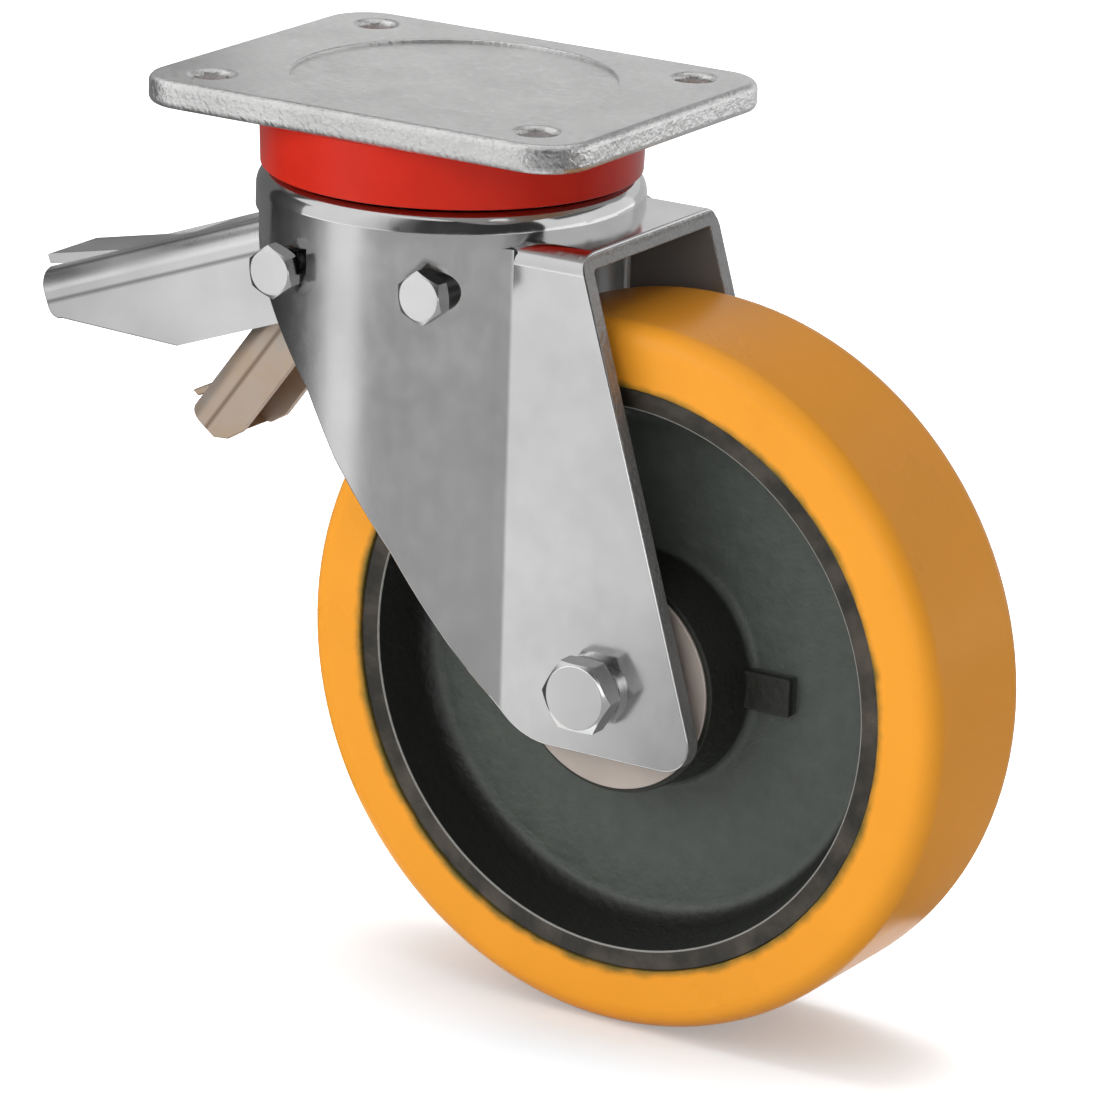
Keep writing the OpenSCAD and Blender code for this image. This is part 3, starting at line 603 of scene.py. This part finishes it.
def bronze(name, colour, rough):
    """Passivated zinc: a warm coat whose tint drifts, over a metal that is only half bare."""
    material = metal(name, colour, rough, 90.0, (1, 1, 1), 0.08)
    tree = material.node_tree
    shader = tree.nodes["Principled BSDF"]
    shader.inputs["Metallic"].default_value = 0.55
    drift = noise(tree, tree.nodes["place"], "Object", 70.0, 3.0)
    grey = (colour[0] * 0.92, colour[1] * 1.02, colour[2] * 1.12)
    brown = (colour[0] * 0.98, colour[1] * 0.9, colour[2] * 0.78)
    tint = shades(tree, drift, "Fac", (0.32, brown), (0.5, colour), (0.68, grey))
    link(tree, tint, "Color", shader, "Base Color")
    return material


release_bronze = bronze("release_bronze", (0.50, 0.40, 0.32), 0.38)
release_mesh = merged("release_pedal")
round_edges(release_mesh, outside_drum, 0.0005, 3)
release = finished(release_mesh, "release_lever", "release_pedal")
# A brown line is painted along the lower lever's bend as painted shade.
brown_line = (0.5, 0.45, 0.41)
release_up = (-0.7965, 0.0, 0.6046)
release_at = -0.0002
painted_bend_shade(release_bronze, release_up, release_at, (0.0074, unshaded), (0.0082, brown_line),
    (0.0086, brown_line), (0.0094, unshaded))
finish_with(release, release_bronze)
shoe_bronze = bronze("shoe_bronze", (0.46, 0.37, 0.30), 0.42)
shoe_mesh = merged("brake_shoe")
round_edges(shoe_mesh, lambda p: p.z < -0.05, 0.0004, 2)
shoe = finished(shoe_mesh, "shoe", "brake_shoe")
finish_with(shoe, shoe_bronze)

# Axle: an M12 hexagon bolt through both legs, with washers, a lock nut, a long sleeve through
# the bearings and a spacer at each end of the hub.
bolt("axle_bolt", "axle_nut", "wheel_bolt", 0.006, 0.00175)
nut("axle_nut", "wheel_nut")
finish_with(nodes["axle_washers"], nut_zinc)
finish_with(nodes["axle_sleeve"], sleeve_zinc)
finish_with(nodes["hub_spacers"], sleeve_zinc)

# Wheel bearings: two ball bearings pressed into the hub, each behind a pressed shield of warm
# grey steel whose face shows the rings of its tool.
finish_with(nodes["bearing_inner_rings"], ball_steel)
finish_with(nodes["bearing_outer_rings"], ball_steel)
finish_with(nodes["bearing_balls"], ball_steel)
axle_at = (0.072, 0.0, -0.153)


def round_the_axle(tree, place):
    """Distance from the wheel's axis, for finishes that run in rings."""
    centred = tree.nodes.new("ShaderNodeMapping")
    centred.inputs["Location"].default_value = (-axle_at[0], 0, -axle_at[2])
    centred.inputs["Scale"].default_value = (1, 0, 1)
    link(tree, place, "Object", centred, "Vector")
    reach = tree.nodes.new("ShaderNodeVectorMath")
    reach.operation = "LENGTH"
    link(tree, centred, "Vector", reach, 0)
    return reach


shield_mesh = merged("bearing_shields")
round_edges(shield_mesh, everywhere, 0.00035, 3)
shields = finished(shield_mesh, "shields", "bearing_shields")
shield_steel = metal("shield_steel", (0.46, 0.40, 0.355), 0.42, 90.0, (1, 1, 1), 0.05)
tree = shield_steel.node_tree
shader = tree.nodes["Principled BSDF"]
shader.inputs["Metallic"].default_value = 0.3
reach = round_the_axle(tree, tree.nodes["place"])
rings = tree.nodes.new("ShaderNodeTexNoise")
rings.noise_dimensions = "1D"
rings.inputs["Scale"].default_value = 1500.0
rings.inputs["Detail"].default_value = 3.0
link(tree, reach, "Value", rings, "W")
tooled = bumped(tree, rings, "Fac", 0.25, 0.0001, tree.nodes["skin"])
link(tree, tooled, "Normal", shader, "Normal")
finish_with(shields, shield_steel)

# Wheel centre: an iron casting in dark green-grey paint over a sandy skin. Inside the rim and
# round the hub the paint is darkened near black as painted shade. Its rim face is turned after
# painting, so it is stained bare iron, with a light line painted at its inner edge as a painted
# highlight. The hub has one lug beside it on the near side.
rim_face_y = 0.0241
rim_in_r = 0.0771
rim_r = 0.0827
hub_shade_r = 0.054
rim_shade_r = (0.0695, 0.0722)
web_y = 0.0062


def turned_edge(p):
    return abs(p.y) > rim_face_y - 6e-4


def lug_edge(p):
    past_hub = p.x > axle_at[0] + 0.0365
    return past_hub and abs(p.z - axle_at[2]) < 0.008 and -0.0105 < p.y < -0.0062


core_mesh = merged("wheel_core")
round_edges(core_mesh, turned_edge, 0.0005, 3)
round_edges(core_mesh, lug_edge, 0.0008, 3)
casting = finished(core_mesh, "wheel_casting", "wheel_core")
core_paint = plain("core_paint", (0.072, 0.081, 0.071), 0.4, 160.0, 0.55, 0.1)
tree = core_paint.node_tree
shader = tree.nodes["Principled BSDF"]
place = tree.nodes["place"]
shader.inputs["Specular IOR Level"].default_value = 0.3
sand = noise(tree, place, "Object", 430.0, 5.0)
cast_skin = bumped(tree, sand, "Fac", 0.7, 0.0006, tree.nodes["skin"])
link(tree, cast_skin, "Normal", shader, "Normal")
reach = round_the_axle(tree, place)
depth = tree.nodes.new("ShaderNodeSeparateXYZ")
link(tree, place, "Object", depth, "Vector")
outward = tree.nodes.new("ShaderNodeMath")
outward.operation = "ABSOLUTE"
link(tree, depth, "Y", outward, 0)
# Round the hub, on the hub and lug that stand proud of the web, the paint is darkened near black as
# painted shade.
near_hub = spread(tree, reach, "Value", hub_shade_r - 0.006, hub_shade_r, 1.0, 0.0)
proud = spread(tree, outward, "Value", web_y + 0.0006, web_y + 0.003, 0.0, 1.0)
hub_shade = tree.nodes.new("ShaderNodeMath")
hub_shade.operation = "MULTIPLY"
link(tree, near_hub, "Result", hub_shade, 0)
link(tree, proud, "Result", hub_shade, 1)
hub_shaded = tree.nodes.new("ShaderNodeMix")
hub_shaded.data_type = "RGBA"
hub_shaded.inputs[7].default_value = (0.022, 0.023, 0.019, 1)
link(tree, hub_shade, "Value", hub_shaded, 0)
link(tree, tree.nodes["tone"], "Color", hub_shaded, 6)
# Inside the rim the paint is darkened near black as painted shade.
in_rim = spread(tree, reach, "Value", *rim_shade_r, 0.0, 1.0)
rim_shaded = tree.nodes.new("ShaderNodeMix")
rim_shaded.data_type = "RGBA"
rim_shaded.inputs[7].default_value = (0.016, 0.017, 0.015, 1)
link(tree, in_rim, "Result", rim_shaded, 0)
link(tree, hub_shaded, 2, rim_shaded, 6)
at_face = spread(tree, outward, "Value", rim_face_y - 5e-4, rim_face_y - 3e-4, 0.0, 1.0)
past_arris = spread(tree, reach, "Value", rim_in_r - 3e-4, rim_in_r - 1e-4, 0.0, 1.0)
turned_face = tree.nodes.new("ShaderNodeMath")
turned_face.operation = "MULTIPLY"
link(tree, at_face, "Result", turned_face, 0)
link(tree, past_arris, "Result", turned_face, 1)
stain = noise(tree, place, "Object", 90.0, 4.0)
turned_tone = shades(tree, stain, "Fac", (0.4, (0.024, 0.022, 0.018)), (0.7, (0.075, 0.062, 0.048)))
# A thin light grey ring is painted at the rim face's inner edge as a painted highlight.
on_arris = spread(tree, reach, "Value", rim_in_r + 2e-4, rim_in_r + 5e-4, 1.0, 0.0)
arris_highlight = tree.nodes.new("ShaderNodeMix")
arris_highlight.data_type = "RGBA"
arris_highlight.inputs[7].default_value = (0.3, 0.29, 0.27, 1)
link(tree, on_arris, "Result", arris_highlight, 0)
link(tree, turned_tone, "Color", arris_highlight, 6)
rim_metal = tree.nodes.new("ShaderNodeMix")
rim_metal.data_type = "RGBA"
link(tree, turned_face, "Value", rim_metal, 0)
link(tree, rim_shaded, 2, rim_metal, 6)
link(tree, arris_highlight, 2, rim_metal, 7)
link(tree, rim_metal, 2, shader, "Base Color")
finish_with(casting, core_paint)

# Tread: orange polyurethane cast on to the rim, glossy, with rounded shoulders. A thin olive
# line of bonding coat shows where it meets the iron.
tread_mesh = merged("tread")


def bond_edge(p):
    return math.hypot(p.x - axle_at[0], p.z - axle_at[2]) < rim_r + 5e-4


round_edges(tread_mesh, bond_edge, 0.0005, 3)
tyre = finished(tread_mesh, "tyre", "tread")
tread_orange = plain("tread_orange", (0.92, 0.365, 0.03), 0.3, 30.0, 0.03, 0.03)
tree = tread_orange.node_tree
shader = tree.nodes["Principled BSDF"]
shader.inputs["Specular IOR Level"].default_value = 0.15
place = tree.nodes["place"]
reach = round_the_axle(tree, place)
ragged = noise(tree, place, "Object", 130.0, 5.0)
frayed = tree.nodes.new("ShaderNodeMath")
frayed.operation = "MULTIPLY_ADD"
frayed.inputs[1].default_value = 0.0035
link(tree, ragged, "Fac", frayed, 0)
link(tree, reach, "Value", frayed, 2)
bond = spread(tree, frayed, "Value", rim_r + 0.0012, rim_r + 0.0044, 1.0, 0.0)
bonded = tree.nodes.new("ShaderNodeMix")
bonded.data_type = "RGBA"
bonded.inputs[7].default_value = (0.13, 0.105, 0.022, 1)
link(tree, bond, "Result", bonded, 0)
link(tree, tree.nodes["tone"], "Color", bonded, 6)
link(tree, bonded, 2, shader, "Base Color")
finish_with(tyre, tread_orange)

# Studio: white paper under and behind the castor that keeps its shadow, soft lamps in front and
# above, and reflector cards that only gloss sees, as round a metal object in a shop. Near the
# castor the paper's glow fades with ambient occlusion, a painted shadow over the lamps' own, and
# the paper is tinted bluer there to cancel the tread's orange bounce light.
floor_z = cad_low.z
bm = bmesh.new()
bmesh.ops.create_grid(bm, x_segments=1, y_segments=1, size=12.0)
bmesh.ops.translate(bm, verts=bm.verts, vec=(0, 0, floor_z))
floor_mesh = bpy.data.meshes.new("floor")
bm.to_mesh(floor_mesh)
bm.free()
floor = bpy.data.objects.new("floor", floor_mesh)
scene.collection.objects.link(floor)
floor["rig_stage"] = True


def seen(tree):
    """One for camera, glossy and transmission rays, and nought for the light on things."""
    path = tree.nodes.new("ShaderNodeLightPath")
    first = tree.nodes.new("ShaderNodeMath")
    first.operation = "MAXIMUM"
    second = tree.nodes.new("ShaderNodeMath")
    second.operation = "MAXIMUM"
    link(tree, path, "Is Camera Ray", first, 0)
    link(tree, path, "Is Glossy Ray", first, 1)
    link(tree, first, "Value", second, 0)
    link(tree, path, "Is Transmission Ray", second, 1)
    return second


paper_white = bpy.data.materials.new("paper_white")
paper_white.use_nodes = True
tree = paper_white.node_tree
tree.nodes.remove(tree.nodes["Principled BSDF"])
paper = tree.nodes.new("ShaderNodeBsdfDiffuse")
glow = tree.nodes.new("ShaderNodeEmission")
# Near the castor the glow drops with ambient occlusion, a painted shadow, and the paper turns bluer to
# cancel the orange bounce light.
under_wheel = tree.nodes.new("ShaderNodeAmbientOcclusion")
under_wheel.samples = 3
under_wheel.inputs["Distance"].default_value = 0.14
glow_less_in_shadow = spread(tree, under_wheel, "AO", 0.55, 0.97, 0.31, 0.95)
cooled = spread(tree, under_wheel, "AO", 0.5, 0.9, 0.0, 1.0)
tint_against_bounce = shades(tree, cooled, "Result", (0.0, (0.79, 0.895, 0.99)), (1.0, (0.89, 0.9, 0.91)))
link(tree, tint_against_bounce, "Color", paper, "Color")
lift = tree.nodes.new("ShaderNodeMath")
lift.operation = "MULTIPLY"
link(tree, seen(tree), "Value", lift, 0)
link(tree, glow_less_in_shadow, "Result", lift, 1)
link(tree, lift, "Value", glow, "Strength")
both = tree.nodes.new("ShaderNodeAddShader")
link(tree, paper, "BSDF", both, 0)
link(tree, glow, "Emission", both, 1)
link(tree, both, "Shader", tree.nodes["Material Output"], "Surface")
floor_mesh.materials.append(paper_white)

world = bpy.data.worlds.new("studio")
scene.world = world
world.use_nodes = True
tree = world.node_tree
level = tree.nodes.new("ShaderNodeMapRange")
sky = tree.nodes.new("ShaderNodeTexCoord")
compass = tree.nodes.new("ShaderNodeSeparateXYZ")
link(tree, sky, "Generated", compass, "Vector")
ambient = spread(tree, compass, "X", -0.8, 0.8, 0.62, 0.28)
link(tree, ambient, "Result", level, "To Min")
level.inputs["To Max"].default_value = 1.0
link(tree, seen(tree), "Value", level, "Value")
link(tree, level, "Result", tree.nodes["Background"], "Strength")
tree.nodes["Background"].inputs["Color"].default_value = (1, 1, 1, 1)


def towards(azimuth, elevation):
    """Unit vector to a place round the castor: 0 is in front, 90 on the wheel's side."""
    a = math.radians(azimuth)
    e = math.radians(elevation)
    return Vector((math.sin(a) * math.cos(e), -math.cos(a) * math.cos(e), math.sin(e)))


def lamp(name, azimuth, elevation, distance, size, power):
    data = bpy.data.lights.new(name, "AREA")
    data.shape = "SQUARE"
    data.size = size
    data.energy = power
    light = bpy.data.objects.new(name, data)
    back = towards(azimuth, elevation)
    castor_middle = Vector((0.03, 0, -0.12))
    stand = castor_middle + back * distance
    light.matrix_world = Matrix.Translation(stand) @ back.to_track_quat("Z", "Y").to_matrix().to_4x4()
    scene.collection.objects.link(light)
    return light


key = lamp("key", -30, 28, 1.6, 1.2, 11.5)
fill = lamp("fill", 20, 20, 1.6, 1.2, 6.5)
lamp("top", 200, 80, 1.6, 1.2, 3.0)
paper_lamp = lamp("paper_lamp", 190, 84, 1.6, 0.9, 13.0)
not_paper = bpy.data.collections.new("not_paper")
not_paper.objects.link(floor)
not_paper.collection_objects[0].light_linking.link_state = "EXCLUDE"
key.light_linking.receiver_collection = not_paper
fill.light_linking.receiver_collection = not_paper
only_paper = bpy.data.collections.new("only_paper")
only_paper.objects.link(floor)
paper_lamp.light_linking.receiver_collection = only_paper


def card(name, turn_from, turn_to, low, high, *stops):
    """A curved reflector between two rings, each a radius and a height, lit by azimuth."""
    middle = (0.035, 0, 0)
    bm = bmesh.new()
    foot = bm.verts.new((middle[0], -low[0], low[1]))
    head = bm.verts.new((middle[0], -high[0], high[1]))
    edge = bm.edges.new((foot, head))
    first = Matrix.Rotation(math.radians(turn_from), 3, "Z")
    bmesh.ops.rotate(bm, verts=bm.verts, cent=middle, matrix=first)
    bmesh.ops.spin(bm, geom=[foot, head, edge], cent=middle, axis=(0, 0, 1),
        angle=math.radians(turn_to - turn_from), steps=48)
    mesh = bpy.data.meshes.new(name)
    bm.to_mesh(mesh)
    bm.free()
    piece = bpy.data.objects.new(name, mesh)
    scene.collection.objects.link(piece)
    piece.visible_camera = False
    piece.visible_diffuse = False
    piece.visible_transmission = False
    piece.visible_volume_scatter = False
    piece.visible_shadow = False
    material = bpy.data.materials.new(name)
    material.use_nodes = True
    tree = material.node_tree
    tree.nodes.remove(tree.nodes["Principled BSDF"])
    place = tree.nodes.new("ShaderNodeTexCoord")
    centred = tree.nodes.new("ShaderNodeMapping")
    centred.inputs["Location"].default_value = (-middle[0], 0, 0)
    link(tree, place, "Object", centred, "Vector")
    round_about = tree.nodes.new("ShaderNodeTexGradient")
    round_about.gradient_type = "RADIAL"
    link(tree, centred, "Vector", round_about, "Vector")
    levels = [((azimuth + 90) / 360, (level, level, level)) for azimuth, level in stops]
    tone = shades(tree, round_about, "Fac", *levels)
    glow = tree.nodes.new("ShaderNodeEmission")
    link(tree, tone, "Color", glow, "Color")
    link(tree, glow, "Emission", tree.nodes["Material Output"], "Surface")
    mesh.materials.append(material)
    piece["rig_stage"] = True


card("front_mat", 0, 360, (0.12, floor_z + 0.001), (1.3, floor_z + 0.001), (-90, 0.05), (-84, 0.06),
    (-68, 0.1), (-60, 0.18), (-53, 0.32), (-47, 0.5), (-43, 0.74), (-39, 0.96), (-33, 1.0), (-26, 1.0),
    (-22, 0.86), (-18, 0.62), (-13, 0.5), (-6, 0.47), (60, 0.47), (74, 0.2), (86, 0.08), (118, 0.08),
    (135, 0.43), (165, 0.48), (190, 0.45), (215, 0.8), (240, 0.5), (255, 0.12), (270, 0.05))
card("left_dark_card", -130, -60, (0.36, floor_z), (0.36, 0.12), (-130, 0.04), (-84, 0.05), (-68, 0.1),
    (-60, 0.18))
card("horizon_gap", -60, 85, (0.36, -0.07), (0.36, 0.45), (-60, 1.0), (-30, 0.95), (-12, 0.7), (0, 0.2),
    (10, 0.05), (85, 0.04))
card("rear_low_card", 166, 260, (0.6, floor_z + 0.1), (0.6, 0.03), (166, 0.6), (260, 0.6))
card("rear_bright_card", 166, 260, (0.6, 0.03), (0.6, 0.29), (166, 0.76), (260, 0.76))
card("ceiling", 0, 360, (0.01, 1.2), (0.6, 1.2), (-90, 0.6), (270, 0.6))
card("rear_ceiling", 100, 260, (0.6, 0.30), (0.6, 0.8), (100, 0.15), (260, 0.15))

# Camera: a long lens a little above the plate, seen from the wheel's front left, as in the
# photograph.
photo_px = 1100
focal_px = 6354.1
turn = 31.97
tilt = 17.387
roll = math.radians(1.668)
distance = 1.7777
aim_right = 0.02994
aim_height = -0.13505
back = towards(turn, tilt)
right = Vector((math.cos(math.radians(turn)), math.sin(math.radians(turn)), 0))
up = back.cross(right)
aim = right * aim_right + Vector((0, 0, aim_height))
across = right * math.cos(roll) + up * math.sin(roll)
above = up * math.cos(roll) - right * math.sin(roll)
camera_data = bpy.data.cameras.new("camera")
camera_data.sensor_width = 36.0
camera_data.lens = focal_px / photo_px * camera_data.sensor_width
camera = bpy.data.objects.new("camera", camera_data)
turned_to = Matrix((across, above, back)).transposed().to_4x4()
camera.matrix_world = Matrix.Translation(aim + back * distance) @ turned_to
scene.collection.objects.link(camera)
scene.camera = camera
scene.view_settings.view_transform = "Standard"

low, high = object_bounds()
